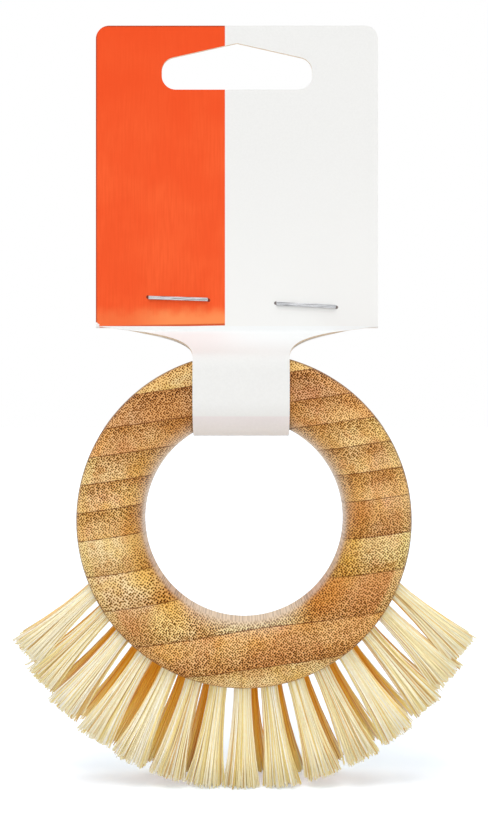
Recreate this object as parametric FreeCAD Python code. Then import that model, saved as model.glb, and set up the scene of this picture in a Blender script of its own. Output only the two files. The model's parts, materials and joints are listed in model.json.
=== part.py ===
import FreeCAD, Part
import math
import os

# A vegetable brush: a ring handle glued up from bamboo strips, two fanned rows of bristle
# tufts stapled into its lower rim, and a folded card tag looped round its top.
# Millimetres, +Z up, the front is -Y, the origin is on the floor under the ring's centre.

Vector = FreeCAD.Vector

# Ring handle
ring_radius = 35.0
rim_width = 13.8
ring_thickness = 19.0
outer_edge_round = 3.5
inner_edge_round = 6.5

# Bamboo strips: parallel glue lines that climb to the right
strip_tilt_deg = 8.25
# Glue lines above and below the hole, as shares of the rim's width outward from the hole
upper_rim_line_shares = (0.58, 0.14)
lower_rim_line_shares = (0.10, 0.66)
# Glue lines that the hole interrupts, as shares of its radius above its centre
hole_line_shares = (0.83, 0.575, 0.307, 0.033, -0.325, -0.677)
butt_seam_offset = -0.5

# Bristle tufts: two rows of blind holes fanned over the lower rim
fan_half_angle_deg = 64.5
# Places of the tufts along each row from left to right, as shares of the fan's half angle
front_row_place_shares = (
    -1.0, -0.87, -0.72, -0.565, -0.41, -0.268, -0.138, -0.008,
    0.135, 0.278, 0.425, 0.58, 0.738, 0.88, 1.01)
back_row_place_shares = (
    -1.0, -0.87, -0.74, -0.595, -0.465, -0.31, -0.169, 0.026,
    0.155, 0.3, 0.459, 0.603, 0.74, 0.87, 1.0)
# A tuft leans in from its radius: its aim is this share of its place, less at the row's ends
aim_share = 0.95
end_lean_share = 0.21
row_offset = 4.2
row_splay_deg = 7.0
tuft_hole_diameter = 3.4
tuft_hole_depth = 7.0
tuft_fit_gap = 0.05
tuft_free_length = 21.0
# The tufts at the row's ends are trimmed shorter by this share of the length
end_trim_share = 0.1
tuft_tip_diameter = 5.2
tuft_groove_depth = 0.3
tip_unevenness = 0.7
# How far the floor presses the lowest tips flat
tip_settle = 0.5
# Ends of the lobes of one tuft, as shares of the unevenness short of the full length
lobe_end_shares = (0.0, 0.7, 0.25, 1.0, 0.4, 0.1, 0.85, 0.3, 0.6)

# Flat wire anchors through the folds of the tufts
anchor_length = 4.4
anchor_height = 1.6
anchor_thickness = 0.4
fold_thickness = 0.6

# Folded card tag
card_thickness = 0.4
loop_clearance = 0.35
fold_gap = 0.3
crease_above_ring = 5.9
strap_width = 20.0
strap_offset = -0.6
neck_height = 7.2
# Handles of the neck's curve, as shares of its width and height from the crease
neck_first_handle_shares = (0.72, 0.26)
neck_last_handle_shares = (0.99, 0.44)
panel_width = 60.0
panel_height = 63.9
panel_offset = -1.5
panel_corner_round = 2.8

# Hang slot with a roof that peaks at its middle; heights are above its lower edge, which
# lies the drop below the panel's top
slot_width = 32.0
slot_side_height = 6.3
slot_peak_height = 9.9
slot_drop = 13.6
slot_end_round = 3.0
slot_peak_round = 1.0

# Wire staples that close the tag: middles from the panel's side edges and from the crease
staple_crown = 12.7
staple_tail = 4.6
staple_wire_width = 0.7
staple_wire_thickness = 0.5
left_staple_inset = 17.5
left_staple_rise = 5.85
left_staple_tilt_deg = 1.9
right_staple_inset = 15.3
right_staple_rise = 4.45
right_staple_tilt_deg = 2.9

# Length by which cutting shapes pass the faces that they cut
overrun = 2.0

# Places that follow from the sizes above
hole_radius = ring_radius - rim_width
panel_left = panel_offset - panel_width / 2
panel_right = panel_offset + panel_width / 2
splay = math.radians(row_splay_deg)
ring_center_height = ring_radius + tuft_free_length * math.cos(splay) - tip_settle
crease_height = ring_center_height + ring_radius + crease_above_ring
ring_center = Vector(0, 0, ring_center_height)
half_thickness = ring_thickness / 2


def rounded_wire(corners):
    """A closed wire through (corner, radius) pairs; a radius of 0 keeps a corner sharp."""
    count = len(corners)
    runs = []
    for index, (corner, radius) in enumerate(corners):
        back = (corners[index - 1][0] - corner).normalize()
        ahead = (corners[(index + 1) % count][0] - corner).normalize()
        half_angle = back.getAngle(ahead) / 2
        reach = radius / math.tan(half_angle)
        middle = (back + ahead).normalize()
        depth = radius / math.sin(half_angle) - radius
        runs.append((corner + back * reach, corner + middle * depth, corner + ahead * reach))
    edges = []
    for index, (start, middle, end) in enumerate(runs):
        if corners[index][1] > 0:
            edges.append(Part.Arc(start, middle, end).toShape())
        following = runs[(index + 1) % count][0]
        if end.distanceToPoint(following) > Part.Precision.confusion():
            edges.append(Part.LineSegment(end, following).toShape())
    return Part.Wire(edges)


def prism(wire, direction):
    """The solid swept by a flat closed wire along a direction."""
    return Part.Face(wire).extrude(direction)


def plain_ring():
    """The turned ring: flat faces, a lightly rounded rim and a well rounded hole."""
    section = rounded_wire([
        (Vector(hole_radius, -half_thickness, 0), inner_edge_round),
        (Vector(ring_radius, -half_thickness, 0), outer_edge_round),
        (Vector(ring_radius, half_thickness, 0), outer_edge_round),
        (Vector(hole_radius, half_thickness, 0), inner_edge_round),
    ])
    ring = Part.Face(section).revolve(Vector(0, 0, 0), Vector(0, 1, 0), 360)
    ring.translate(ring_center)
    return ring


def tuft_placement(place_share, side):
    """Where a tuft leaves the rim; side is -1 for the front row and 1 for the back row."""
    place_deg = fan_half_angle_deg * place_share
    aim_deg = place_deg * (aim_share - end_lean_share * place_share ** 2)
    place = math.radians(place_deg)
    mouth = ring_center + Vector(
        ring_radius * math.sin(place), side * row_offset, -ring_radius * math.cos(place))
    fan = FreeCAD.Rotation(Vector(0, 1, 0), -aim_deg)
    tilt = FreeCAD.Rotation(Vector(1, 0, 0), side * row_splay_deg)
    return FreeCAD.Placement(mouth, fan.multiply(tilt))


def tuft_hole():
    """The drilled hole of a tuft that points down from the origin."""
    return Part.makeCylinder(
        tuft_hole_diameter / 2, tuft_hole_depth + overrun, Vector(0, 0, -overrun))


def anchor():
    """The flat wire that holds a tuft's fold down and bites into the hole's walls."""
    lower = tuft_hole_depth - fold_thickness - anchor_height
    corner = Vector(-anchor_thickness / 2, -anchor_length / 2, lower)
    return Part.makeBox(anchor_thickness, anchor_length, anchor_height, corner)


def lobed_ring(radius, heights):
    """Corners round a tuft at one level: a lobe for each height, with grooves between."""
    count = len(heights)
    points = []
    for index, height in enumerate(heights):
        next_height = heights[(index + 1) % count]
        lobe = 2 * math.pi * index / count
        groove = 2 * math.pi * (index + 0.5) / count
        inner = radius - tuft_groove_depth
        points.append(Vector(radius * math.cos(lobe), radius * math.sin(lobe), height))
        points.append(Vector(
            inner * math.cos(groove), inner * math.sin(groove), (height + next_height) / 2))
    return points


def triangle(first, second, third):
    return Part.Face(Part.makePolygon([first, second, third, first]))


def tuft(place_share):
    """A bundle of bristles that points down from the origin, with its root in the hole."""
    root_radius = tuft_hole_diameter / 2 - tuft_fit_gap
    length = tuft_free_length * (1 - end_trim_share * place_share ** 2)
    tip_heights = [tip_unevenness * share - length for share in lobe_end_shares]
    root_heights = [tuft_hole_depth for share in lobe_end_shares]
    mouth_heights = [0 for share in lobe_end_shares]
    rings = [
        lobed_ring(root_radius, root_heights),
        lobed_ring(root_radius, mouth_heights),
        lobed_ring(tuft_tip_diameter / 2, tip_heights),
    ]
    count = len(rings[0])
    faces = []
    for upper, lower in zip(rings, rings[1:]):
        for index in range(count):
            following = (index + 1) % count
            faces.append(triangle(upper[index], upper[following], lower[index]))
            faces.append(triangle(upper[following], lower[following], lower[index]))
    top = Vector(0, 0, tuft_hole_depth)
    tip = Vector(0, 0, sum(tip_heights) / len(tip_heights))
    for index in range(count):
        following = (index + 1) % count
        faces.append(triangle(rings[0][following], rings[0][index], top))
        faces.append(triangle(rings[-1][index], rings[-1][following], tip))
    bundle = Part.Solid(Part.Shell(faces))
    return bundle.cut(anchor()).Solids[0]


def glue_line_heights():
    """Distances of the glue lines above the ring's centre, from the top down."""
    upper = [hole_radius + rim_width * share for share in upper_rim_line_shares]
    middle = [hole_radius * share for share in hole_line_shares]
    lower = [-hole_radius - rim_width * share for share in lower_rim_line_shares]
    return upper + middle + lower


def slab(lower, upper):
    """A layer of the glued block between two glue lines."""
    width = 2 * (ring_radius + overrun)
    depth = ring_thickness + 2 * overrun
    box = Part.makeBox(width, depth, upper - lower, Vector(-width / 2, -depth / 2, lower))
    box.rotate(Vector(0, 0, 0), Vector(0, 1, 0), -strip_tilt_deg)
    box.translate(ring_center)
    return box


def seam_halves(piece):
    """A strip cut in two along the upright butt seam."""
    width = 2 * ring_radius
    depth = ring_thickness + 2 * overrun
    height = 2 * ring_radius
    low = Vector(butt_seam_offset, -depth / 2, ring_center_height - ring_radius - overrun)
    right = Part.makeBox(width, depth, height, low)
    return piece.cut(right).Solids + piece.common(right).Solids


def bamboo_strips(drilled_ring):
    """The strips by name, numbered from the top; split ones have a left and a right half."""
    limit = ring_radius + overrun
    heights = [limit] + glue_line_heights() + [-limit]
    strips = {}
    for number, (upper, lower) in enumerate(zip(heights, heights[1:]), start=1):
        piece = drilled_ring.common(slab(lower, upper))
        solids = piece.Solids
        if number == len(heights) - 1:
            solids = seam_halves(piece)
        name = "bamboo_strip_%02d" % number
        if len(solids) == 1:
            strips[name] = solids[0]
            continue
        left, right = sorted(solids, key=lambda solid: solid.CenterOfMass.x)
        strips[name + "_left"] = left
        strips[name + "_right"] = right
    return strips


def loop_wire():
    """The inside of the strap's loop, seen from the side, pulled tight round the ring."""
    strap_edge = abs(strap_offset) + strap_width / 2
    bottom = ring_center_height + math.sqrt(hole_radius ** 2 - strap_edge ** 2) - loop_clearance
    face = half_thickness + loop_clearance
    apex = crease_height - card_thickness - fold_gap - card_thickness / 2
    rim_round = outer_edge_round + loop_clearance
    rim_center_y = half_thickness - outer_edge_round
    rim_center_z = ring_center_height + ring_radius - outer_edge_round
    # The leg runs from the apex and touches the rounded rim
    rise = apex - rim_center_z
    reach = math.hypot(rim_center_y, rise)
    leg_angle = math.atan2(rim_center_y, rise) + math.asin(rim_round / reach)
    shoulder = apex - face / math.tan(leg_angle)
    hole_round = inner_edge_round + loop_clearance
    return rounded_wire([
        (Vector(0, 0, apex), 0),
        (Vector(0, -face, shoulder), rim_round),
        (Vector(0, -face, bottom), hole_round),
        (Vector(0, face, bottom), hole_round),
        (Vector(0, face, shoulder), rim_round),
    ])


def neck_curve(start, end):
    """One edge of the neck, from the panel's corner at the crease down to the strap."""
    span = end - start
    first = start + Vector(
        span.x * neck_first_handle_shares[0], 0, span.z * neck_first_handle_shares[1])
    last = start + Vector(
        span.x * neck_last_handle_shares[0], 0, span.z * neck_last_handle_shares[1])
    curve = Part.BezierCurve()
    curve.setPoles([start, first, last, end])
    return curve.toShape()


def neck_outline(front):
    """The outline of the neck and strap seen from the front, in the plane y = front."""
    top = crease_height - card_thickness - fold_gap
    neck_end = top - neck_height
    low = ring_center_height
    strap_left = strap_offset - strap_width / 2
    strap_right = strap_offset + strap_width / 2
    left_curve = neck_curve(Vector(panel_left, front, top), Vector(strap_left, front, neck_end))
    right_curve = neck_curve(Vector(panel_right, front, top), Vector(strap_right, front, neck_end))
    straight = [
        (Vector(panel_left, front, top), Vector(panel_right, front, top)),
        (Vector(strap_right, front, neck_end), Vector(strap_right, front, low)),
        (Vector(strap_right, front, low), Vector(strap_left, front, low)),
        (Vector(strap_left, front, low), Vector(strap_left, front, neck_end)),
    ]
    lines = [Part.LineSegment(start, end).toShape() for start, end in straight]
    return Part.Wire([lines[0], right_curve, lines[1], lines[2], lines[3], left_curve])


def tag_strap():
    """The card loop: two legs from the crease, round the ring and through its hole."""
    inside = Part.Face(loop_wire())
    card = inside.makeOffset2D(card_thickness).cut(inside)
    card.translate(Vector(panel_left - overrun, 0, 0))
    loop = card.extrude(Vector(panel_width + 2 * overrun, 0, 0))
    front = -half_thickness - loop_clearance - card_thickness - overrun
    outline = prism(neck_outline(front), Vector(0, -2 * front, 0))
    return loop.common(outline).Solids[0]


def panel_outline():
    """The panel with rounded top corners and its hang slot, across both thicknesses."""
    front = -card_thickness - overrun
    top = crease_height + panel_height
    low = crease_height - card_thickness - overrun
    sheet = rounded_wire([
        (Vector(panel_left, front, low), 0),
        (Vector(panel_right, front, low), 0),
        (Vector(panel_right, front, top), panel_corner_round),
        (Vector(panel_left, front, top), panel_corner_round),
    ])
    slot_low = top - slot_drop
    slot_left = panel_offset - slot_width / 2
    slot_right = panel_offset + slot_width / 2
    slot = rounded_wire([
        (Vector(slot_left, front, slot_low), slot_end_round),
        (Vector(slot_right, front, slot_low), slot_end_round),
        (Vector(slot_right, front, slot_low + slot_side_height), slot_end_round),
        (Vector(panel_offset, front, slot_low + slot_peak_height), slot_peak_round),
        (Vector(slot_left, front, slot_low + slot_side_height), slot_end_round),
    ])
    through = Vector(0, -2 * front, 0)
    return prism(sheet, through).cut(prism(slot, through))


def tag_panel(side, staples):
    """One card panel above the crease; its foot is rounded about the line that it tilts on."""
    start = panel_left - overrun
    top = crease_height + panel_height + overrun
    outer = side * card_thickness
    bend = card_thickness * math.sqrt(0.5)
    foot = Part.Arc(
        Vector(start, outer, crease_height),
        Vector(start, side * bend, crease_height - bend),
        Vector(start, 0, crease_height - card_thickness)).toShape()
    rest = Part.makePolygon([
        Vector(start, 0, crease_height - card_thickness),
        Vector(start, 0, top),
        Vector(start, outer, top),
        Vector(start, outer, crease_height)])
    section = Part.Wire([foot] + rest.Edges)
    card = prism(section, Vector(panel_width + 2 * overrun, 0, 0))
    return card.common(panel_outline()).cut(staples).Solids[0]


def staple(middle, rise, tilt_deg):
    """A wire staple: crown on the front, legs through both panels, tails clinched behind."""
    half = staple_crown / 2
    inner = half - staple_wire_thickness
    front = -card_thickness - staple_wire_thickness
    back = card_thickness + staple_wire_thickness
    tail = half - staple_tail
    low = -staple_wire_width / 2
    bend = staple_wire_thickness / 2
    wire = rounded_wire([
        (Vector(-tail, card_thickness, low), 0),
        (Vector(-tail, back, low), 0),
        (Vector(-half, back, low), bend),
        (Vector(-half, front, low), bend),
        (Vector(half, front, low), bend),
        (Vector(half, back, low), bend),
        (Vector(tail, back, low), 0),
        (Vector(tail, card_thickness, low), 0),
        (Vector(inner, card_thickness, low), 0),
        (Vector(inner, -card_thickness, low), 0),
        (Vector(-inner, -card_thickness, low), 0),
        (Vector(-inner, card_thickness, low), 0),
    ])
    piece = prism(wire, Vector(0, 0, staple_wire_width))
    piece.rotate(Vector(0, 0, 0), Vector(0, 1, 0), tilt_deg)
    piece.translate(Vector(middle, 0, crease_height + rise))
    return piece


def placed(shape, placement):
    copy = shape.copy()
    copy.Placement = placement.multiply(copy.Placement)
    return copy


def main():
    nodes = {}
    holes = []
    rows = (("front", -1, front_row_place_shares), ("back", 1, back_row_place_shares))
    floor_width = 4 * (ring_radius + tuft_free_length)
    floor = Part.makeBox(
        floor_width, floor_width, ring_center_height,
        Vector(-floor_width / 2, -floor_width / 2, -ring_center_height))
    for row, side, place_shares in rows:
        anchors = []
        for number, place_share in enumerate(place_shares, start=1):
            place = tuft_placement(place_share, side)
            anchors.append(placed(anchor(), place))
            holes.append(placed(tuft_hole(), place))
            bundle = placed(tuft(place_share), place)
            nodes["%s_tuft_%02d" % (row, number)] = bundle.cut(floor).Solids[0]
        nodes[row + "_row_anchors"] = Part.makeCompound(anchors)
        holes.extend(anchors)
    nodes.update(bamboo_strips(plain_ring().cut(holes)))

    left = staple(panel_left + left_staple_inset, left_staple_rise, left_staple_tilt_deg)
    right = staple(panel_right - right_staple_inset, right_staple_rise, right_staple_tilt_deg)
    nodes["left_staple"] = left
    nodes["right_staple"] = right
    nodes["tag_front_panel"] = tag_panel(-1, [left, right])
    nodes["tag_back_panel"] = tag_panel(1, [left, right])
    nodes["tag_strap"] = tag_strap()

    os.makedirs("parts", exist_ok=True)
    for name, shape in nodes.items():
        shape.exportStep("parts/%s.step" % name)
        print(name, len(shape.Solids), shape.isValid(), round(shape.Volume, 2))


main()
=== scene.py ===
import bpy
import json
import math
import random
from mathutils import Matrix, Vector

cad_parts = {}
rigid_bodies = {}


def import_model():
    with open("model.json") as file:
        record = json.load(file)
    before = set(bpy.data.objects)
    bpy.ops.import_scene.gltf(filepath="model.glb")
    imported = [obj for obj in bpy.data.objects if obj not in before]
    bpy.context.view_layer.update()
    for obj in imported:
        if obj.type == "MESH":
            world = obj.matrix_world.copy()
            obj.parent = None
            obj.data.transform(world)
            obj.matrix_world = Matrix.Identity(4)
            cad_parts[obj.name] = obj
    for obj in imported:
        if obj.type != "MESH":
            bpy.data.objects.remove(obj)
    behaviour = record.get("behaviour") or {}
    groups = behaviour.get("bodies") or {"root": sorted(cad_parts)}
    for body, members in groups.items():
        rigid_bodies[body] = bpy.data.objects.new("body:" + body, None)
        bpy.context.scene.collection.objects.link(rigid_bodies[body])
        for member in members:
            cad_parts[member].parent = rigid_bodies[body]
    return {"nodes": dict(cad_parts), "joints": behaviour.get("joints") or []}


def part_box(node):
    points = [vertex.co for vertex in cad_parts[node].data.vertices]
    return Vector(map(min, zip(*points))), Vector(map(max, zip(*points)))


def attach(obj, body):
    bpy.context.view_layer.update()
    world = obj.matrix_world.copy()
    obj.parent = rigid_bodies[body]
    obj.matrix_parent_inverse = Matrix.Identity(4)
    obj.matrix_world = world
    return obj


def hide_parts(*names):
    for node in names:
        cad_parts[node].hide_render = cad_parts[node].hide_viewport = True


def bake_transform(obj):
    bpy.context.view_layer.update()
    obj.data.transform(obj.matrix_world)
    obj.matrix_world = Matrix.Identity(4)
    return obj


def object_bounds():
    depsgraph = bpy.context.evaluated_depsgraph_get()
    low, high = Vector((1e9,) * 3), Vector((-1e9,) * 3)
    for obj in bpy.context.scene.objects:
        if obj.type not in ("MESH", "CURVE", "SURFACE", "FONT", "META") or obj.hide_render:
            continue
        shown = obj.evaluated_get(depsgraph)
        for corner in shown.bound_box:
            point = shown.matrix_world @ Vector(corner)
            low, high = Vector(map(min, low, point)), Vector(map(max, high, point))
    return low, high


# A vegetable brush: a bamboo ring with two rows of bristle tufts and a folded card tag.
# The bamboo strips, panels, staples and anchors are the frame's own solids with new materials.
# The tufts are built here filament by filament, and the strap as one bent sheet of card.
# Shapes are in metres, lengths in the materials in millimetres. Colours of three numbers are
# screen colours from 0 to 255, tints multiply a colour, and a fade lists what Shader.step takes:
# where it starts and ends, and the levels there if they aren't 0 and 1.

MM = 0.001

for leftover in list(bpy.data.objects):
    bpy.data.objects.remove(leftover)
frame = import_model()
cad_low, cad_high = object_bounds()
nodes = frame["nodes"]
joints = {joint["name"]: joint for joint in frame["joints"]}
ring_center = Vector(joints["tag_round_ring"]["pos_m"])
crease = Vector(joints["tag_fold"]["pos_m"])

# Photograph: its height in pixels and the view that it was taken from
photo_height = 822
focal_pixels = 1409.0
camera_distance = 300.0 * MM
camera_height = 78.2 * MM
sensor_height = 36.0
view_start = 10 * MM
view_end = 50

# Lamps: strength, azimuth from the photograph's side, elevation and angular size in degrees
key_lamp = (1.15, -20, 66, 36)
fill_lamp = (1.15, 8, 14, 75)
rim_lamp = (0.2, 190, 52, 50)
# Ambient light, dimmer from the photograph's side than from behind
ambient_fade = (-0.2, 0.8, 0.3, 1.0)

# Floor: the lift brightens it for the camera and in mirrors only
floor_half_width = 6.0
floor_whites = ((250, 250, 250), (247, 247, 247))
floor_noise_scale = 60.0
floor_noise_detail = 3.0
floor_lift = 0.39
floor_lift_colour = (0.58, 0.78, 1.0, 1.0)

# Bamboo ring
strip_tilt_deg = 8.25
hole_radius = 21.2
hole_edge_round = 6.5
hole_side_blur = 1.0
first_strip = "bamboo_strip_01"
last_strips = ("bamboo_strip_11_left", "bamboo_strip_11_right")

# Looks of the strips: colour between the fibre dots, pitch of the dots, the side where they are
# densest, 1 for the upper and -1 for the lower glue line, and how far they swell
strip_looks = {
    "bamboo_strip_01": ((241, 211, 153), 0.4512, 1, -0.04),
    "bamboo_strip_02": ((231, 186, 139), 0.4136, 1, 0.03),
    "bamboo_strip_03": ((242, 196, 138), 0.4042, 1, 0.0),
    "bamboo_strip_04_left": ((255, 226, 174), 0.4136, 1, 0.0),
    "bamboo_strip_04_right": ((255, 222, 161), 0.4042, 1, 0.0),
    "bamboo_strip_05_left": ((254, 218, 164), 0.423, 1, 0.0),
    "bamboo_strip_05_right": ((255, 225, 174), 0.4042, 1, 0.0),
    "bamboo_strip_06_left": ((247, 210, 148), 0.423, 1, 0.0),
    "bamboo_strip_06_right": ((252, 215, 158), 0.3948, 1, 0.0),
    "bamboo_strip_07_left": ((253, 229, 178), 0.423, -1, -0.06),
    "bamboo_strip_07_right": ((252, 219, 171), 0.4136, -1, 0.0),
    "bamboo_strip_08_left": ((252, 227, 183), 0.5076, -1, -0.03),
    "bamboo_strip_08_right": ((255, 235, 180), 0.4324, -1, 0.0),
    "bamboo_strip_09": ((255, 229, 182), 0.423, -1, 0.01),
    "bamboo_strip_10": ((250, 207, 147), 0.423, -1, 0.025),
    "bamboo_strip_11_left": ((255, 230, 175), 0.423, 1, -0.045),
    "bamboo_strip_11_right": ((255, 230, 175), 0.423, 1, -0.045),
}

# Stained, pale and golden places on a strip: along and across the layers from the ring's centre,
# and their reach
strip_stains = {
    "bamboo_strip_02": ((-14.0, 25.5, 8.0),),
    "bamboo_strip_09": ((-27.0, -18.0, 6.5), (25.0, -18.0, 11.0), (15.0, -18.5, 7.0)),
    "bamboo_strip_10": ((4.0, -30.0, 9.0),),
    "bamboo_strip_07_right": ((24.0, -1.0, 5.0),),
}
strip_pales = {
    "bamboo_strip_03": ((23.0, 16.0, 6.0),),
    "bamboo_strip_09": ((-1.0, -25.0, 12.0),),
}
strip_golds = {
    "bamboo_strip_08_left": ((-23.0, -8.0, 4.0),),
    "bamboo_strip_09": ((-18.0, -18.5, 5.0),),
}
stain_colour = (226, 166, 104)
pale_tint = (1.06, 1.12, 1.14)
gold_tint = (1.0, 0.98, 0.84)
# A place is ragged by this share of its reach, and fades between two shares of it
place_raggedness = 0.5
place_fade = (1.3, 0.5, 0.0, 0.85)

# Fibre dots: cells of a turned lattice, with dark cores in amber halos. A dot's size, in pitches,
# grows on the dense side, in patches and by chance
lattice_turn_deg = 45.0
lattice_randomness = 0.53
dot_size = -0.055
dense_growth = 0.09
patch_growth = 0.1
patch_scale = 0.35
patch_detail = 3.0
chance_growth = 0.1
halo_fade = (0.38, 0.25)
core_fade = (0.26, 0.16)
dot_chance_fade = (0.0, 0.8, 0.65, 1.0)
dot_face_fade = (0.0, 1.0, 0.4, 1.0)
halo_tint = (0.63, 0.36, 0.02, 1.0)
sparse_core = (64, 20, 0)
dense_core = (42, 10, 0)

# Wood between the dots: scale and detail of a noise, the fade of its patches, and their tint
deep_tint = (0.88, 0.78, 0.62)
lower_patches = (
    (0.13, 2.0, (0.46, 0.66, 0.0, 0.6), (0.98, 0.9, 0.55)),
    (0.19, 2.0, (0.48, 0.68, 0.0, 0.6), (0.96, 0.86, 0.86)),
    (0.3, 3.0, (0.52, 0.74, 0.0, 0.6), (0.88, 0.7, 0.42)),
)
speckle_scale = 4.5
speckle_detail = 2.0
upper_patches = (
    (0.11, 3.0, (0.45, 0.7, 0.0, 0.5), deep_tint),
    (0.11, 3.0, (0.5, 0.3, 0.0, 0.6), (1.03, 1.08, 1.12)),
    (speckle_scale, speckle_detail, (0.45, 0.75, 0.0, 0.35), deep_tint),
)
deep_power = 3.0
deep_share = 0.7

# Painted light and shade on the bamboo, and its warmer right side. A facing is 1 on the ring's
# flat faces and 0 on its sides, and a level is -1 at the ring's foot and 1 at its top
face_fade = (0.1, 0.6)
# Painted shade: the hole's rounding darker and more golden, less so at the foot and the top
hole_shade_fade = (hole_radius + 6.3, hole_radius + 2.0)
hole_shade_foot_fade = (-0.97, -0.75, 0.35, 1.0)
hole_shade_top_fade = (0.2, 0.8, 1.0, 0.6)
hole_shade_tint = (0.95, 0.8, 0.48, 1.0)
warm_side_fade = (5.0, 25.0)
warm_rim_fade = (26.5, 28.5)
warm_tint = (0.98, 0.91, 0.82, 1.0)
# Painted shade: the ring's sides darker than its faces
side_shade_tint = (0.72, 0.6, 0.5, 1.0)
# Levels where the painted sheen and the wall's painted reflection are strongest
foot_fade = (-0.75, -0.97)
top_fade = (-0.5, 0.7, 0.0, 0.9)
# Painted reflection: the hole's wall paler
wall_reflection_fade = (0.45, 0.15)
wall_reflection_foot_fade = (0.0, 0.4, 0.45, 0.75)
wall_reflection_colour = (222, 200, 178)
# Painted highlight on the outer rounding, less towards the foot
rim_highlight_fade = (32.2, 33.4)
rim_highlight_level_fade = (-0.9, -0.4, 0.0, 0.6)
rim_highlight_tint = (1.05, 1.0, 0.88)
# Painted shade along the outer edge
outer_edge_shade_fade = (0.55, 0.3)
outer_edge_shade_share = 0.65
outer_edge_shade_colour = (120, 76, 36)
# Painted sheen: the wood and its dots paler on the hole's rounding
sheen_facing_fade = (0.92, 0.25)
sheen_wood_share = 0.7
sheen_wood = (240, 220, 190)
sheen_dots_share = 0.4
sheen_dots = (222, 200, 176)

# Glue lines, broken along their length, and the butt seam of the lowest layer
glue_line_width = 0.2
glue_noise_scale = 0.9
glue_noise_detail = 2.0
glue_fade = (0.3, 0.6, 0.4, 0.95)
glue_face_fade = (0.0, 1.0, 0.4, 1.0)
glue_colour = (104, 46, 14)
seam_x = -0.5
seam_width = 0.2
seam_share = 0.45
seam_colour = (120, 74, 40)

# Finish of the bamboo
bamboo_roughness = 0.22
bamboo_roughness_spread = 0.25
speckle_relief = 0.3
bamboo_bump = 0.03 * MM
bamboo_bump_strength = 0.5

# Bristles
tufts_per_row = 15
filaments_per_tuft = 190
filament_radius = 0.125 * MM
filament_sides = 5
filament_rows = 5
tuft_root_radius = 1.72 * MM
tuft_tip_radius = 3.8 * MM
tuft_tip_depth = 2.7 * MM
tuft_depth_limit = 0.4 * MM
flare_power = 1.9
tuft_hole_depth = 7.0 * MM
tuft_root_depth = 2.0 * MM
tip_scatter = 0.3 * MM
length_scatter = (-0.8 * MM, 0.6 * MM)
angle_scatter = 0.3
back_row_extra = 1.0 * MM
stray_share = 0.05
stray_scatter = 0.9 * MM
bow_scatter = 0.25 * MM
# Lengths of a tuft's solid that count as its two ends
root_end = 0.5 * MM
tip_end = 1.2 * MM

# Colours of the filaments with their weights: lit ones, and amber ones with painted shade for
# the sides that face the other row
lit_tints = (
    (252, 245, 217), (249, 238, 193), (254, 251, 236), (238, 219, 148), (218, 182, 118))
lit_weights = (30, 30, 21, 12, 7)
shaded_tints = ((255, 224, 84), (255, 202, 44), (255, 242, 130), (190, 116, 10))
shaded_weights = (30, 28, 22, 20)
root_shade = (250, 186, 36)
shade_start = 0.15
shade_scatter = 0.12
shade_width = 0.5
tip_shade_loss = 0.5
bristle_streak_scale = 1.3
bristle_streak_detail = 2.0
bristle_streak_fade = (0.35, 0.75, 0.0, 0.15)
bristle_streak_colour = (226, 186, 110)
bristle_roughness = 0.32
bristle_roughness_spread = 0.2
bristle_gloss = 0.3
bristle_glow = 0.09

# Card: its felt, whites and cut edges
felt_scale = 2.2
felt_detail = 4.0
felt_grain = 0.6
felt_fade = (0.3, 0.7)
felt_bump = 0.02 * MM
felt_bump_strength = 0.12
card_roughness = 0.42
card_roughness_spread = 0.25
card_gloss = 0.15
print_gloss = 0.12
pulp_gloss = 0.1
strap_whites = ((241, 241, 239), (238, 238, 236))
panel_whites = ((242, 242, 240), (239, 239, 237))
pulp_tans = ((232, 216, 194), (212, 190, 162))
cut_side_fade = (0.6, 0.3)

# Card strap, along its middle surface
card_thickness = 0.4 * MM
strap_width = 20.0 * MM
strap_offset = -0.6 * MM
shoulder_drop = 7.2 * MM
shoulder_round = 4.05 * MM
hole_round = 7.05 * MM
neck_round = 1.2 * MM
neck_bend_round = 0.72 * MM
neck_height = 7.0 * MM
neck_first_handle = (0.72, 0.26)
neck_last_handle = (0.99, 0.44)
neck_halvings = 30
strap_columns = 12
strap_row_length = 0.5 * MM
bend_steps = 10
sharp_angle_deg = 40

# Looks of the strap: painted shade below its bend into the hole, painted highlight on the neck
bend_shade_height = 4.1
bend_shade_blur = 0.4
bend_shade_raggedness = 0.3
bend_shade_foot_level = 0.3
bend_shade_tint = (0.98, 0.92, 0.93, 1.0)
# Painted highlight on the neck
neck_highlight = (246, 248, 248)
neck_highlight_fade = (6.5, 2.5)

# Print on the tag's front panel. Shares are of the panel's height or of the block's width
print_edge_x = -4.05
print_edge_blur = 0.06
print_foot_rise = 0.55
print_foot_blur = 0.05
print_facing_fade = (-0.5, -0.9)
# Painted light lifting the white towards the panel's foot
foot_painted_light = (245, 245, 243)
foot_painted_light_fade = (0.7, 0.0)
mottle_scale = 0.09
mottle_detail = 3.0
mottle_fade = (0.35, 0.65)
mottle_inks = ((251, 98, 47), (246, 88, 39))
streak_scale = 2.6
streak_detail = 2.0
streak_stretch = 0.06
streak_fade = (0.35, 0.7, 0.0, 0.5)
streak_ink = (240, 82, 34)
top_ink = (242, 78, 28)
top_ink_share_fade = (0.35, 0.95, 0.0, 0.6)
# Painted highlight on the ink where the card bends
sheen_ink = (255, 150, 88)
sheen_ink_fade = (6.8, 3.4, 0.0, 0.85)
sheen_ink_share_fade = (0.2, 0.6, 0.4, 1.0)
sheen_ink_scale = 0.35
sheen_ink_detail = 3.0
sheen_ink_raggedness = 3.0
# Painted shade along the block's foot
foot_line_shade = (196, 60, 26)
foot_line_shade_fade = (0.6, 0.2, 0.0, 0.85)
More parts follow.
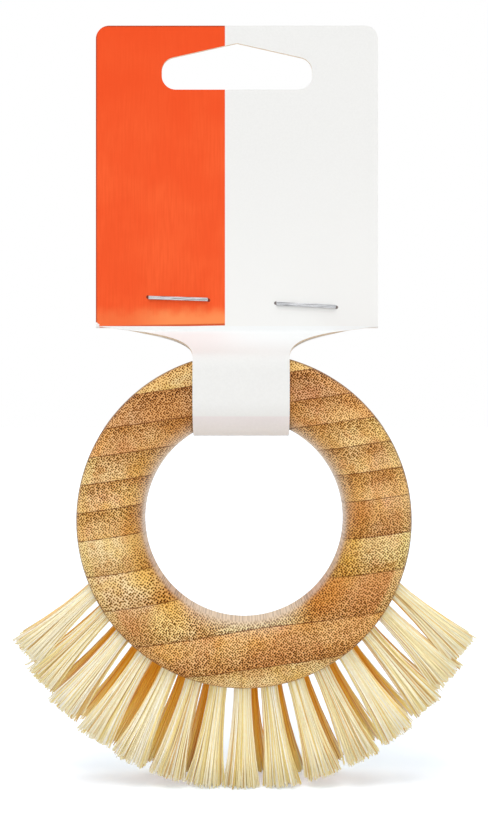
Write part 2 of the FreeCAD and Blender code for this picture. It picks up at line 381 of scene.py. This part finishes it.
# Painted shade along the block's cut edges
cut_edge_shade_ink = (150, 58, 24)
cut_edge_shade_fade = (0.45, 0.0, 0.0, 0.8)
torn_corner_rise = 0.4
torn_corner_fade = (1.15, 1.35)
# Painted shade at the staple holes
staple_hole_shade = (74, 48, 40)
staple_hole_shade_fade = (0.44, 0.264, 0.0, 0.85)
# Where a staple pierces the card: past its crown's ends, and inside its height by this share of
# its depth
pierced_overshoot = 0.1 * MM
pierced_inset_share = 1 / 8

# Drawn wire: light and dark steel, and the scale of its scratches
wire_looks = {
    "staple_wire": ((226, 226, 227), (144, 144, 147), 6.0),
    "anchor_wire": ((180, 180, 178), (120, 120, 120), 3.0),
}
wire_nodes = {
    "staple_wire": ("left_staple", "right_staple"),
    "anchor_wire": ("front_row_anchors", "back_row_anchors"),
}
scratch_stretch = 0.06
scratch_detail = 3.0
scratch_fade = (0.35, 0.7)
# Painted shade on the wire's underside
underside_shade_fade = (0.1, -0.6, 0.0, 0.8)
underside_shade_share = 0.6
wire_roughness = 0.14
wire_roughness_spread = 0.25
wire_bump = 0.01 * MM
wire_bump_strength = 0.3


def srgb(red, green, blue):
    """A linear colour from the 0 to 255 values of a screen colour."""
    def linear(value):
        share = value / 255
        return share / 12.92 if share <= 0.04045 else ((share + 0.055) / 1.055) ** 2.4
    return (linear(red), linear(green), linear(blue), 1.0)


def tinted(colour, tint):
    """A linear colour from a screen colour times a tint."""
    return srgb(*(min(level * share, 255) for level, share in zip(colour, tint)))


class Shader:
    """The node tree of a material or of the world, built towards its surface node."""

    def __init__(self, owner, surface_name="Principled BSDF"):
        self.owner = owner
        owner.use_nodes = True
        self.tree = owner.node_tree
        self.surface = self.tree.nodes[surface_name]

    def node(self, kind, values=None, **settings):
        made = self.tree.nodes.new(kind)
        for name, value in settings.items():
            setattr(made, name, value)
        for name, value in (values or {}).items():
            self.feed(made.inputs[name], value)
        return made

    def feed(self, socket, value):
        if isinstance(value, bpy.types.NodeSocket):
            self.tree.links.new(value, socket)
        else:
            socket.default_value = value

    def set(self, **values):
        for name, value in values.items():
            self.feed(self.surface.inputs[name.replace("_", " ")], value)

    def math(self, operation, first, second=0.0, third=0.0):
        made = self.node("ShaderNodeMath", {0: first, 1: second, 2: third}, operation=operation)
        return made.outputs[0]

    def product(self, first, *others):
        for other in others:
            first = self.math("MULTIPLY", first, other)
        return first

    def mix(self, share, first, second, blend="MIX"):
        made = self.node("ShaderNodeMix", data_type="RGBA", blend_type=blend)
        self.feed(made.inputs["Factor"], share)
        self.feed(made.inputs[6], first)
        self.feed(made.inputs[7], second)
        return made.outputs[2]

    def step(self, value, start, end, low=0.0, high=1.0):
        """A smooth step from low at start to high at end."""
        made = self.node("ShaderNodeMapRange", {
            "Value": value, "From Min": start, "From Max": end, "To Min": low, "To Max": high},
            interpolation_type="SMOOTHSTEP")
        return made.outputs["Result"]

    def noise(self, coordinates, scale, detail, roughness=0.5):
        made = self.node("ShaderNodeTexNoise", {
            "Vector": coordinates, "Scale": scale, "Detail": detail, "Roughness": roughness})
        return made.outputs["Fac"]

    def millimetres(self, origin=Vector((0, 0, 0)), turn_deg=0.0):
        """Object coordinates in millimetres from a point, turned about the Y axis."""
        place = self.node("ShaderNodeTexCoord").outputs["Object"]
        moved = self.node("ShaderNodeVectorMath", {0: place, 1: origin}, operation="SUBTRACT")
        turned = self.node("ShaderNodeMapping", {
            "Vector": moved.outputs[0], "Rotation": (0, math.radians(turn_deg), 0),
            "Scale": (1 / MM, 1 / MM, 1 / MM)})
        return turned.outputs[0]

    def split(self, vector):
        made = self.node("ShaderNodeSeparateXYZ", {0: vector})
        return made.outputs[0], made.outputs[1], made.outputs[2]

    def join(self, x, y, z=0.0):
        return self.node("ShaderNodeCombineXYZ", {0: x, 1: y, 2: z}).outputs[0]

    def distance(self, first, second):
        made = self.node("ShaderNodeVectorMath", {0: first, 1: second}, operation="DISTANCE")
        return made.outputs["Value"]

    def object_normal(self):
        return self.split(self.node("ShaderNodeTexCoord").outputs["Normal"])

    def seen(self):
        """1 for rays from the camera, also by way of a mirror or glass, and otherwise 0."""
        rays = self.node("ShaderNodeLightPath").outputs
        mirrored = self.math("MAXIMUM", rays["Is Glossy Ray"], rays["Is Transmission Ray"])
        return self.math("MAXIMUM", rays["Is Camera Ray"], mirrored)

    def roughen(self, pattern, spread, base):
        self.set(Roughness=self.math("MULTIPLY_ADD", pattern, spread, base))

    def bump(self, height, distance, strength):
        made = self.node("ShaderNodeBump", {
            "Height": height, "Distance": distance, "Strength": strength})
        self.set(Normal=made.outputs[0])


def new_shader(name):
    return Shader(bpy.data.materials.new(name))


class Strip:
    """One bamboo strip's shader, and the patterns that its looks share."""

    def __init__(self, name):
        self.name = name
        self.colour, self.pitch, dense_side, self.swelling = strip_looks[name]
        self.low, self.high = strip_span(nodes[name])
        self.shader = shader = new_shader(name)
        layers = shader.split(shader.millimetres(ring_center, strip_tilt_deg))
        self.along, self.across = layers[0], layers[2]
        self.flat = shader.join(self.along, self.across)
        self.facing = shader.math("ABSOLUTE", shader.object_normal()[1])
        self.on_face = shader.step(self.facing, *face_fade)
        self.away = shader.distance(self.flat, (0, 0, 0))
        upright = shader.split(shader.millimetres(ring_center))[2]
        self.level = shader.math("DIVIDE", upright, self.away)
        hole_side = hole_radius + hole_edge_round
        self.inside = shader.step(
            self.away, hole_side + hole_side_blur, hole_side - hole_side_blur)
        dense, sparse = (self.high, self.low) if dense_side > 0 else (self.low, self.high)
        self.density = shader.step(self.across, sparse, dense)
        self.noises = {}
        self.patches = self.noise(patch_scale, patch_detail)
        self.speckle = self.noise(speckle_scale, speckle_detail)

    def noise(self, scale, detail):
        """A noise over the flat faces, made once for each scale and detail."""
        if (scale, detail) not in self.noises:
            self.noises[scale, detail] = self.shader.noise(self.flat, scale, detail)
        return self.noises[scale, detail]


def strip_span(node):
    """The lowest and highest distance of a strip from the ring's centre, across its layers."""
    tilt = math.radians(strip_tilt_deg)
    across = Vector((-math.sin(tilt), 0, math.cos(tilt)))
    heights = [across.dot(vertex.co - ring_center) / MM for vertex in node.data.vertices]
    return min(heights), max(heights)


def bamboo(name):
    """End grain of varnished bamboo: fibre dots on the faces, streaks along the rim and hole."""
    strip = Strip(name)
    shader = strip.shader
    halos, cores = fibre_dots(strip)
    # The painted sheen and the painted reflection in the hole are strongest at the foot and towards
    # the top
    foot = shader.math("MAXIMUM", shader.step(strip.level, *foot_fade),
                       shader.step(strip.level, *top_fade))
    # Painted sheen on the hole's rounding
    painted_sheen = shader.product(shader.step(strip.facing, *sheen_facing_fade), strip.inside, foot)
    glue = glue_lines(strip)

    wood = with_painted_light(strip, plain_wood(strip), foot)
    wood = shader.mix(shader.product(painted_sheen, sheen_wood_share), wood, srgb(*sheen_wood))
    wood = shader.mix(halos, wood, halo_tint, "MULTIPLY")
    core = shader.mix(strip.density, srgb(*sparse_core), srgb(*dense_core))
    wood = shader.mix(cores, wood, core)
    wood = shader.mix(shader.product(painted_sheen, sheen_dots_share), wood, srgb(*sheen_dots))
    broken = shader.product(
        shader.step(strip.noise(glue_noise_scale, glue_noise_detail), *glue_fade),
        shader.step(strip.on_face, *glue_face_fade))
    wood = shader.mix(shader.product(glue, broken), wood, srgb(*glue_colour))
    if name in last_strips:
        wood = butt_seam(shader, wood)

    shader.set(Base_Color=wood)
    shader.roughen(strip.speckle, bamboo_roughness_spread, bamboo_roughness)
    shader.set(Specular_IOR_Level=0.0, Coat_Weight=0.6, Coat_IOR=1.25, Coat_Roughness=0.3)
    relief = shader.math("SUBTRACT", shader.product(strip.speckle, speckle_relief),
                         shader.math("MAXIMUM", cores, glue))
    shader.bump(relief, bamboo_bump, bamboo_bump_strength)
    return shader.owner


def fibre_dots(strip):
    """Halos and cores of the staggered fibre dots, which grow towards the dense side."""
    shader = strip.shader
    lattice = shader.node("ShaderNodeMapping", {
        "Vector": strip.flat, "Rotation": (0, 0, math.radians(lattice_turn_deg))}).outputs[0]
    cells = shader.node("ShaderNodeTexVoronoi", {
        "Vector": lattice, "Scale": 1 / strip.pitch, "Randomness": lattice_randomness},
        voronoi_dimensions="2D").outputs
    strength_chance, size_chance = shader.split(cells["Color"])[:2]
    size = shader.math("MULTIPLY_ADD", strip.patches, patch_growth, strip.swelling + dot_size)
    size = shader.math("MULTIPLY_ADD", strip.density, dense_growth, size)
    size = shader.math("MULTIPLY_ADD", size_chance, chance_growth, size)
    edge = shader.math("SUBTRACT", cells["Distance"], size)
    strength = shader.product(shader.step(strength_chance, *dot_chance_fade),
                              shader.step(strip.on_face, *dot_face_fade))
    halos = shader.product(shader.step(edge, *halo_fade), strength)
    cores = shader.product(shader.step(edge, *core_fade), strength)
    return halos, cores


def plain_wood(strip):
    """Wood between the fibres: patches of gold, pink and amber, and the strip's own places."""
    shader, colour = strip.shader, strip.colour

    def patched(wood, patches):
        for scale, detail, fade, tint in patches:
            share = shader.step(strip.noise(scale, detail), *fade)
            wood = shader.mix(share, wood, tinted(colour, tint))
        return wood

    wood = patched(srgb(*colour), lower_patches)
    deep = shader.product(shader.math("POWER", strip.density, deep_power), deep_share)
    wood = shader.mix(deep, wood, tinted(colour, deep_tint))
    wood = patched(wood, upper_patches)
    for places, tone in ((strip_stains, srgb(*stain_colour)),
                         (strip_pales, tinted(colour, pale_tint)),
                         (strip_golds, tinted(colour, gold_tint))):
        for along, across, reach in places.get(strip.name, ()):
            offset = shader.distance(strip.flat, (along, across, 0))
            offset = shader.math("MULTIPLY_ADD", strip.patches, place_raggedness * reach, offset)
            start, end, low, high = place_fade
            share = shader.step(offset, start * reach, end * reach, low, high)
            wood = shader.mix(share, wood, tone)
    return wood


def with_painted_light(strip, wood, foot):
    """Painted light and shade on the wood: shade that turns the hole's rounding golden and darkens
    the sides, a reflection on the hole's wall, a highlight on the outer rounding and shade on
    the outer edge. The outer part of the right side is also warmer."""
    shader = strip.shader
    # Painted shade on the hole's rounding, darker and more golden
    hole_shade = shader.product(shader.step(strip.away, *hole_shade_fade),
                            shader.step(strip.level, *hole_shade_foot_fade),
                            shader.step(strip.level, *hole_shade_top_fade))
    wood = shader.mix(hole_shade, wood, hole_shade_tint, "MULTIPLY")
    warm = shader.product(shader.step(strip.along, *warm_side_fade),
                          shader.step(strip.away, *warm_rim_fade))
    wood = shader.mix(warm, wood, warm_tint, "MULTIPLY")
    # Painted shade on the ring's sides
    wood = shader.mix(strip.on_face, shader.mix(1.0, wood, side_shade_tint, "MULTIPLY"), wood)
    # Painted reflection on the hole's wall, most at the foot and top
    wall = shader.product(shader.step(strip.facing, *wall_reflection_fade), strip.inside,
                          shader.step(foot, *wall_reflection_foot_fade))
    wood = shader.mix(wall, wood, srgb(*wall_reflection_colour))
    # Painted highlight on the outer rounding
    rim_highlight = shader.product(shader.step(strip.away, *rim_highlight_fade),
                            shader.step(strip.level, *rim_highlight_level_fade))
    wood = shader.mix(rim_highlight, wood, tinted(strip.colour, rim_highlight_tint))
    # Painted shade along the outer edge
    outer_edge_shade = shader.product(shader.step(strip.facing, *outer_edge_shade_fade),
                           shader.math("SUBTRACT", 1.0, strip.inside), outer_edge_shade_share)
    return shader.mix(outer_edge_shade, wood, srgb(*outer_edge_shade_colour))


def glue_lines(strip):
    """Lines at the strip's borders with its neighbours."""
    shader = strip.shader
    borders = []
    if strip.name != first_strip:
        borders.append(shader.math("SUBTRACT", strip.high, strip.across))
    if strip.name not in last_strips:
        borders.append(shader.math("SUBTRACT", strip.across, strip.low))
    glue = 0.0
    for border in borders:
        glue = shader.math("MAXIMUM", shader.step(border, glue_line_width, 0.0), glue)
    return glue


def butt_seam(shader, wood):
    """The upright seam between the two pieces of the lowest layer."""
    x = shader.split(shader.millimetres())[0]
    offset = shader.math("ABSOLUTE", shader.math("SUBTRACT", x, seam_x))
    seam = shader.product(shader.step(offset, seam_width, 0.0), seam_share)
    return shader.mix(seam, wood, srgb(*seam_colour))


def bristle():
    """Filaments that carry their own tint, painted shade included; a faint glow stands for the
    light passing through.
    """
    shader = new_shader("bristle")
    tint = shader.node("ShaderNodeAttribute", attribute_name="tint").outputs["Color"]
    streak = shader.noise(shader.millimetres(), bristle_streak_scale, bristle_streak_detail)
    tone = shader.mix(shader.step(streak, *bristle_streak_fade), tint,
                      srgb(*bristle_streak_colour))
    shader.set(Base_Color=tone, Specular_IOR_Level=bristle_gloss)
    shader.set(Emission_Color=tone, Emission_Strength=bristle_glow)
    shader.roughen(streak, bristle_roughness_spread, bristle_roughness)
    return shader.owner


def new_board(name):
    """A shader of card, with the fine felt of its surface as bump and as roughness."""
    shader = new_shader(name)
    felt = shader.noise(shader.millimetres(), felt_scale, felt_detail, felt_grain)
    shader.roughen(felt, card_roughness_spread, card_roughness)
    shader.bump(felt, felt_bump, felt_bump_strength)
    return shader, felt


def felted(shader, felt, tones):
    """A colour that varies between two tones with the felt."""
    return shader.mix(shader.step(felt, *felt_fade), srgb(*tones[0]), srgb(*tones[1]))


def cut_edges(shader, felt, face):
    """Tan pulp on the sides of a panel that stands across Y, and its own colour on its faces."""
    side = shader.step(shader.math("ABSOLUTE", shader.object_normal()[1]), *cut_side_fade)
    return shader.mix(side, face, felted(shader, felt, pulp_tans))


def strap_card():
    """White board of the strap, with painted shade where it bends down into the ring's hole and a
    painted highlight on the neck.
    """
    shader, felt = new_board("tag_card")
    z = shader.split(shader.millimetres())[2]
    height = shader.math("SUBTRACT", z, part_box("tag_strap")[0].z / MM)
    # Painted shade below the bend into the hole, lighter towards the strap's lowest point
    ragged = shader.math("MULTIPLY_ADD", felt, bend_shade_raggedness, height)
    bend_shade = shader.product(shader.step(ragged, bend_shade_height + bend_shade_blur, bend_shade_height),
                             shader.step(height, 0.0, bend_shade_height, bend_shade_foot_level, 1.0))
    white = shader.mix(bend_shade, felted(shader, felt, strap_whites), bend_shade_tint, "MULTIPLY")
    # Painted highlight: the neck whiter near the fold
    drop = shader.math("SUBTRACT", crease.z / MM, z)
    white = shader.mix(shader.step(drop, *neck_highlight_fade), white, srgb(*neck_highlight))
    shader.set(Base_Color=white, Specular_IOR_Level=card_gloss)
    return shader.owner


def back_card():
    """White board of the back panel, tan where it is cut."""
    shader, felt = new_board("tag_back")
    white = felted(shader, felt, panel_whites)
    shader.set(Base_Color=cut_edges(shader, felt, white), Specular_IOR_Level=card_gloss)
    return shader.owner


def board_edge():
    """Cut edge of the strap's board: tan pulp."""
    shader, felt = new_board("tag_edge")
    shader.set(Base_Color=felted(shader, felt, pulp_tans), Specular_IOR_Level=pulp_gloss)
    return shader.owner


def printed_card():
    """White board with a block of orange on the left of its front. Painted on it: a highlight low
    on the block, and shade along the block's foot and cut edges and at the staple holes.
    """
    shader, felt = new_board("tag_print")
    place = shader.millimetres()
    x, y, z = shader.split(place)
    low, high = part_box("tag_front_panel")
    left, foot, top = low.x / MM, low.z / MM, high.z / MM
    width = print_edge_x - left
    height = shader.math("SUBTRACT", z, foot)
    inward = shader.math("SUBTRACT", x, left)
    height_share = shader.math("DIVIDE", height, top - foot)
    width_share = shader.math("DIVIDE", inward, width)
    white = felted(shader, felt, panel_whites)
    # Painted light: the white lighter towards the panel's foot
    white = shader.mix(shader.step(height_share, *foot_painted_light_fade), white,
                       srgb(*foot_painted_light))

    # Ink: mottled, streaked from top to bottom, and paler low down where the card bends, which is a
    # painted highlight
    mottle = shader.noise(place, mottle_scale, mottle_detail)
    ink = shader.mix(shader.step(mottle, *mottle_fade),
                     srgb(*mottle_inks[0]), srgb(*mottle_inks[1]))
    drawn = shader.join(x, y, shader.product(z, streak_stretch))
    streak = shader.noise(drawn, streak_scale, streak_detail)
    ink = shader.mix(shader.step(streak, *streak_fade), ink, srgb(*streak_ink))
    ink = shader.mix(shader.step(height_share, *top_ink_share_fade), ink, srgb(*top_ink))
    # Painted highlight low on the block, where the card bends
    bend = shader.math("MULTIPLY_ADD", shader.noise(place, sheen_ink_scale, sheen_ink_detail),
                       sheen_ink_raggedness, height)
    painted_sheen = shader.product(shader.step(bend, *sheen_ink_fade),
                            shader.step(width_share, *sheen_ink_share_fade))
    ink = shader.mix(painted_sheen, ink, srgb(*sheen_ink))

    # The block's foot climbs to the right with a line of painted shade along it, its lower corner
    # is torn, and painted shade darkens its cut edges
    above = shader.math("SUBTRACT", height, shader.product(inward, print_foot_rise / width))
    # Painted shade: a dark line along the block's foot
    ink = shader.mix(shader.step(above, *foot_line_shade_fade), ink, srgb(*foot_line_shade))
    # Painted shade along the block's left and top cut edges
    margin = shader.math("MINIMUM", inward, shader.math("SUBTRACT", top, z))
    ink = shader.mix(shader.step(margin, *cut_edge_shade_fade), ink, srgb(*cut_edge_shade_ink))
    front_place = shader.join(x, 0.0, z)
    corner = shader.distance(front_place, (left, 0.0, foot + torn_corner_rise))
    block = shader.product(
        shader.step(x, print_edge_x + print_edge_blur, print_edge_x - print_edge_blur),
        shader.step(above, -print_foot_blur, print_foot_blur),
        shader.step(shader.math("ADD", corner, felt), *torn_corner_fade),
        shader.step(shader.object_normal()[1], *print_facing_fade))
    face = shader.mix(block, white, ink)

    # Painted shade at the holes where the staples go through
    for end in staple_ends():
        staple_hole_shade_mask = shader.step(shader.distance(front_place, end), *staple_hole_shade_fade)
        face = shader.mix(staple_hole_shade_mask, face, srgb(*staple_hole_shade))
    shader.set(Base_Color=cut_edges(shader, felt, face), Specular_IOR_Level=print_gloss)
    return shader.owner


def staple_ends():
    """Places where the staples pierce the panels: each crown falls a little to the right."""
    for name in wire_nodes["staple_wire"]:
        low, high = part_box(name)
        inset = (high.y - low.y) * pierced_inset_share
        yield Vector((low.x - pierced_overshoot, 0, high.z - inset)) / MM
        yield Vector((high.x + pierced_overshoot, 0, low.z + inset)) / MM


def wire(name):
    """Drawn steel wire with lengthwise scratches, and painted shade on its underside."""
    light, dark, scale = wire_looks[name]
    shader = new_shader(name)
    x, y, z = shader.split(shader.millimetres())
    drawn = shader.join(shader.product(x, scratch_stretch), y, z)
    scratch = shader.noise(drawn, scale, scratch_detail)
    tone = shader.mix(shader.step(scratch, *scratch_fade), srgb(*light), srgb(*dark))
    # Painted shade on the wire's underside
    underside_shade = shader.step(shader.object_normal()[2], *underside_shade_fade)
    shade = srgb(*(underside_shade_share * level for level in dark))
    shader.set(Base_Color=shader.mix(underside_shade, tone, shade), Metallic=1.0)
    shader.roughen(scratch, wire_roughness_spread, wire_roughness)
    shader.bump(scratch, wire_bump, wire_bump_strength)
    return shader.owner


def dress_frame():
    """New materials for the solids that stay."""
    looks = {name: bamboo(name) for name in strip_looks}
    looks["tag_front_panel"] = printed_card()
    looks["tag_back_panel"] = back_card()
    for wire_name, names in wire_nodes.items():
        looks.update(dict.fromkeys(names, wire(wire_name)))
    for name, material in looks.items():
        for slot in nodes[name].material_slots:
            slot.material = material


def new_mesh(name, points, faces, material):
    mesh = bpy.data.meshes.new(name)
    mesh.from_pydata(points, [], faces)
    mesh.materials.append(material)
    for polygon in mesh.polygons:
        polygon.use_smooth = True
    mesh.update()
    piece = bpy.data.objects.new(name, mesh)
    bpy.context.scene.collection.objects.link(piece)
    return piece


def tuft_axis(node):
    """Root and tip of a tuft's solid: means of the corners at its two ends."""
    corners = [vertex.co.copy() for vertex in node.data.vertices]
    root = min(corners, key=lambda corner: (corner - ring_center).length)
    tip = max(corners, key=lambda corner: (corner - ring_center).length)
    # The second round takes the ends along the line that the first one found
    for attempt in range(2):
        line = (tip - root).normalized()
        ranks = [line.dot(corner) for corner in corners]
        first, last = min(ranks), max(ranks)
        near = [corner for corner, rank in zip(corners, ranks) if rank < first + root_end]
        far = [corner for corner, rank in zip(corners, ranks) if rank > last - tip_end]
        root = sum(near, Vector()) / len(near)
        tip = sum(far, Vector()) / len(far)
    return root, tip


def filament_path(chance, root, line, side, out, length, angle, share):
    """Points along one filament, from inside the hole to its ragged tip."""
    scatter = stray_scatter if chance.random() < stray_share else tip_scatter
    wander = side * chance.gauss(0, scatter) + out * chance.gauss(0, scatter)
    bow = side * chance.gauss(0, bow_scatter) + out * chance.gauss(0, bow_scatter)
    reach = length + chance.uniform(*length_scatter)
    points = []
    for row in range(filament_rows):
        step = row / (filament_rows - 1)
        flare = step ** flare_power
        across = tuft_root_radius + (tuft_tip_radius - tuft_root_radius) * flare
        deep = tuft_root_radius + (tuft_tip_depth - tuft_root_radius) * flare
        spread = side * (across * math.cos(angle)) + out * (deep * math.sin(angle))
        point = (root + line * (reach * step) + spread * math.sqrt(share)
                 + wander * flare + bow * (step * (1 - step)))
        point.y = min(max(point.y, cad_low.y - tuft_depth_limit), cad_high.y + tuft_depth_limit)
        point.z = max(point.z, filament_radius)
        points.append(point)
    return points


def filament_tints(chance, inward):
    """Colours of one filament's corners: amber painted shade where it faces the other row, most at
    its root.
    """
    # Painted shade: how far this filament faces the other row
    shaded = (inward + shade_start + chance.gauss(0, shade_scatter)) / shade_width
    shaded = min(max(shaded, 0), 1)
    lit = srgb(*chance.choices(lit_tints, lit_weights)[0])
    dim = srgb(*chance.choices(shaded_tints, shaded_weights)[0])
    deep = srgb(*root_shade)
    tints = []
    for row in range(filament_rows):
        along = row / (filament_rows - 1)
        amber = [d * along + e * (1 - along) for d, e in zip(dim, deep)]
        share = shaded * (1 - tip_shade_loss * along ** 2)
        tint = [a * (1 - share) + b * share for a, b in zip(lit, amber)]
        tints.extend([tint] * filament_sides)
    return tints


def add_tube(points, faces, path, side, out, turn):
    """Adds a tube along a path, with a flat cap on its end."""
    first = len(points)
    for middle in path:
        for corner in range(filament_sides):
            bend = turn + math.tau * corner / filament_sides
            points.append(middle + (side * math.cos(bend) + out * math.sin(bend)) * filament_radius)
    for row in range(len(path) - 1):
        lower = first + row * filament_sides
        upper = lower + filament_sides
        for corner in range(filament_sides):
            following = (corner + 1) % filament_sides
            faces.append((lower + corner, lower + following, upper + following, upper + corner))
    faces.append(tuple(range(len(points) - filament_sides, len(points))))


def tuft(name, material, seed):
    """A tuft of separate filaments in place of its solid."""
    chance = random.Random(seed)
    in_front = name.startswith("front")
    root, tip = tuft_axis(nodes[name])
    line = (tip - root).normalized()
    out = Vector((0, -1 if in_front else 1, 0))
    out = (out - line * line.dot(out)).normalized()
    side = line.cross(out).normalized()
    mouth = root + line * (tuft_hole_depth - tuft_root_depth)
    length = (tip - mouth).length + (0 if in_front else back_row_extra)
    points, faces, tints = [], [], []
    golden_angle = math.pi * (3 - math.sqrt(5))
    for index in range(filaments_per_tuft):
        share = (index + 0.5) / filaments_per_tuft
        angle = index * golden_angle + chance.uniform(-angle_scatter, angle_scatter)
        path = filament_path(chance, mouth, line, side, out, length, angle, share)
        tints.extend(filament_tints(chance, -math.sin(angle) * math.sqrt(share)))
        add_tube(points, faces, path, side, out, chance.uniform(0, math.tau))
    piece = new_mesh(name + "_bristles", points, faces, material)
    layer = piece.data.color_attributes.new("tint", "FLOAT_COLOR", "POINT")
    for item, tint in zip(layer.data, tints):
        item.color = tint
    for polygon in piece.data.polygons:
        polygon.use_smooth = len(polygon.vertices) != filament_sides
    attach(piece, "brush")
    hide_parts(name)


def rounded_path(corners):
    """Points along a run of (corner, radius) pairs with its inner corners rounded."""
    points = [corners[0][0]]
    for index in range(1, len(corners) - 1):
        corner, radius = corners[index]
        back = (corners[index - 1][0] - corner).normalized()
        ahead = (corners[index + 1][0] - corner).normalized()
        half = back.angle(ahead) / 2
        middle = corner + (back + ahead).normalized() * (radius / math.sin(half))
        start = corner + back * (radius / math.tan(half)) - middle
        end = corner + ahead * (radius / math.tan(half)) - middle
        for step in range(bend_steps + 1):
            points.append(middle + start.slerp(end, step / bend_steps) * radius)
    points.append(corners[-1][0])
    return points


def bezier(first, second, third, fourth, share):
    rest = 1 - share
    return (first * rest ** 3 + second * 3 * rest ** 2 * share
            + third * 3 * rest * share ** 2 + fourth * share ** 3)


def neck_edge(panel_x, strap_x, top, z):
    """Where the neck's edge is at a height: a curve from the panel's corner to the strap."""
    low, high = 0.0, 1.0
    for halving in range(neck_halvings):
        middle = (low + high) / 2
        drop = bezier(0, neck_first_handle[1], neck_last_handle[1], 1, middle) * neck_height
        if top - drop > z:
            low = middle
        else:
            high = middle
    inward = bezier(0, neck_first_handle[0], neck_last_handle[0], 1, low)
    return panel_x + (strap_x - panel_x) * inward


def strap_path(top, bottom, face):
    """Points along the strap, seen from the side, from the crease round the ring and back."""
    half = card_thickness / 2
    bends = rounded_path([
        (Vector((0, -half, top)), 0),
        (Vector((0, -half, top - neck_round)), neck_bend_round),
        (Vector((0, -face, top - shoulder_drop)), shoulder_round),
        (Vector((0, -face, bottom)), hole_round),
        (Vector((0, face, bottom)), hole_round),
        (Vector((0, face, top - shoulder_drop)), shoulder_round),
        (Vector((0, half, top - neck_round)), neck_bend_round),
        (Vector((0, half, top)), 0),
    ])
    path = []
    for start, end in zip(bends, bends[1:]):
        rows = max(1, round((end - start).length / strap_row_length))
        path.extend(start.lerp(end, row / rows) for row in range(rows))
    path.append(bends[-1])
    return path


def strap(material):
    """One sheet of card: a neck that narrows from the panels and a loop round the ring."""
    low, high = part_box("tag_strap")
    top = crease.z
    path = strap_path(top, low.z + card_thickness / 2, high.y - card_thickness / 2)
    points, faces = [], []
    for place in path:
        left, right = strap_offset - strap_width / 2, strap_offset + strap_width / 2
        if place.z > top - neck_height:
            left = neck_edge(low.x, left, top, place.z)
            right = neck_edge(high.x, right, top, place.z)
        for column in range(strap_columns + 1):
            x = left + (right - left) * column / strap_columns
            points.append(Vector((x, place.y, place.z)))
    width = strap_columns + 1
    for row in range(len(path) - 1):
        for column in range(strap_columns):
            corner = row * width + column
            faces.append((corner, corner + 1, corner + width + 1, corner + width))
    piece = new_mesh("tag_strap_card", points, faces, material)
    piece.data.materials.append(board_edge())
    thick = piece.modifiers.new("thickness", "SOLIDIFY")
    thick.thickness = card_thickness
    thick.offset = 0
    thick.use_even_offset = True
    thick.material_offset_rim = 1
    bake(piece)
    piece.data.set_sharp_from_angle(angle=math.radians(sharp_angle_deg))
    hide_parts("tag_strap")
    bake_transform(piece)


def bake(piece):
    """Puts the result of a piece's modifiers in its mesh."""
    depsgraph = bpy.context.evaluated_depsgraph_get()
    result = bpy.data.meshes.new_from_object(piece.evaluated_get(depsgraph))
    piece.modifiers.clear()
    piece.data = result


def floor():
    """A pale floor that takes the shadow and runs out to the white background."""
    shader = new_shader("floor")
    place = shader.node("ShaderNodeTexCoord").outputs["Object"]
    tone = shader.noise(place, floor_noise_scale, floor_noise_detail)
    white = shader.mix(tone, srgb(*floor_whites[0]), srgb(*floor_whites[1]))
    shader.set(Base_Color=white, Roughness=0.9, Specular_IOR_Level=0.1)
    shader.set(Emission_Color=floor_lift_colour,
               Emission_Strength=shader.product(shader.seen(), floor_lift))
    half = floor_half_width
    corners = [(-half, -half, 0), (half, -half, 0), (half, half, 0), (-half, half, 0)]
    piece = new_mesh("floor", corners, [(0, 1, 2, 3)], shader.owner)


def sun(name, strength, azimuth_deg, elevation_deg, angle_deg, mirrored=True):
    """A soft light from far away; azimuth 0 is the photograph's side."""
    data = bpy.data.lights.new(name, "SUN")
    data.energy = strength
    data.angle = math.radians(angle_deg)
    piece = bpy.data.objects.new(name, data)
    azimuth, elevation = math.radians(azimuth_deg), math.radians(elevation_deg)
    towards = Vector((math.sin(azimuth) * math.cos(elevation),
                      -math.cos(azimuth) * math.cos(elevation), math.sin(elevation)))
    piece.rotation_euler = towards.to_track_quat("Z", "Y").to_euler()
    piece.visible_glossy = mirrored
    bpy.context.scene.collection.objects.link(piece)


def light():
    """Three lamps, and a world that is white to the camera and a softer light to the brush."""
    sun("key", *key_lamp)
    sun("fill", *fill_lamp, mirrored=False)
    sun("rim", *rim_lamp)
    world = bpy.data.worlds.new("studio")
    bpy.context.scene.world = world
    shader = Shader(world, "Background")
    direction = shader.node("ShaderNodeTexCoord").outputs["Generated"]
    ambient = shader.step(shader.split(direction)[1], *ambient_fade)
    strength = shader.node("ShaderNodeMapRange", {
        "Value": shader.seen(), "To Min": ambient, "To Max": 1.0}).outputs["Result"]
    shader.set(Color=(1, 1, 1, 1), Strength=strength)


def camera():
    data = bpy.data.cameras.new("camera")
    data.sensor_fit = "VERTICAL"
    data.sensor_height = sensor_height
    data.lens = focal_pixels * sensor_height / photo_height
    data.clip_start = view_start
    data.clip_end = view_end
    piece = bpy.data.objects.new("camera", data)
    piece.location = (0, -camera_distance, camera_height)
    piece.rotation_euler = (math.radians(90), 0, 0)
    bpy.context.scene.collection.objects.link(piece)
    bpy.context.scene.camera = piece


bpy.context.scene.view_settings.view_transform = "Standard"
dress_frame()
bristle_material = bristle()
for row in ("front", "back"):
    for number in range(1, tufts_per_row + 1):
        tuft("%s_tuft_%02d" % (row, number), bristle_material, "%s %d" % (row, number))
strap(strap_card())
floor()
light()
camera()
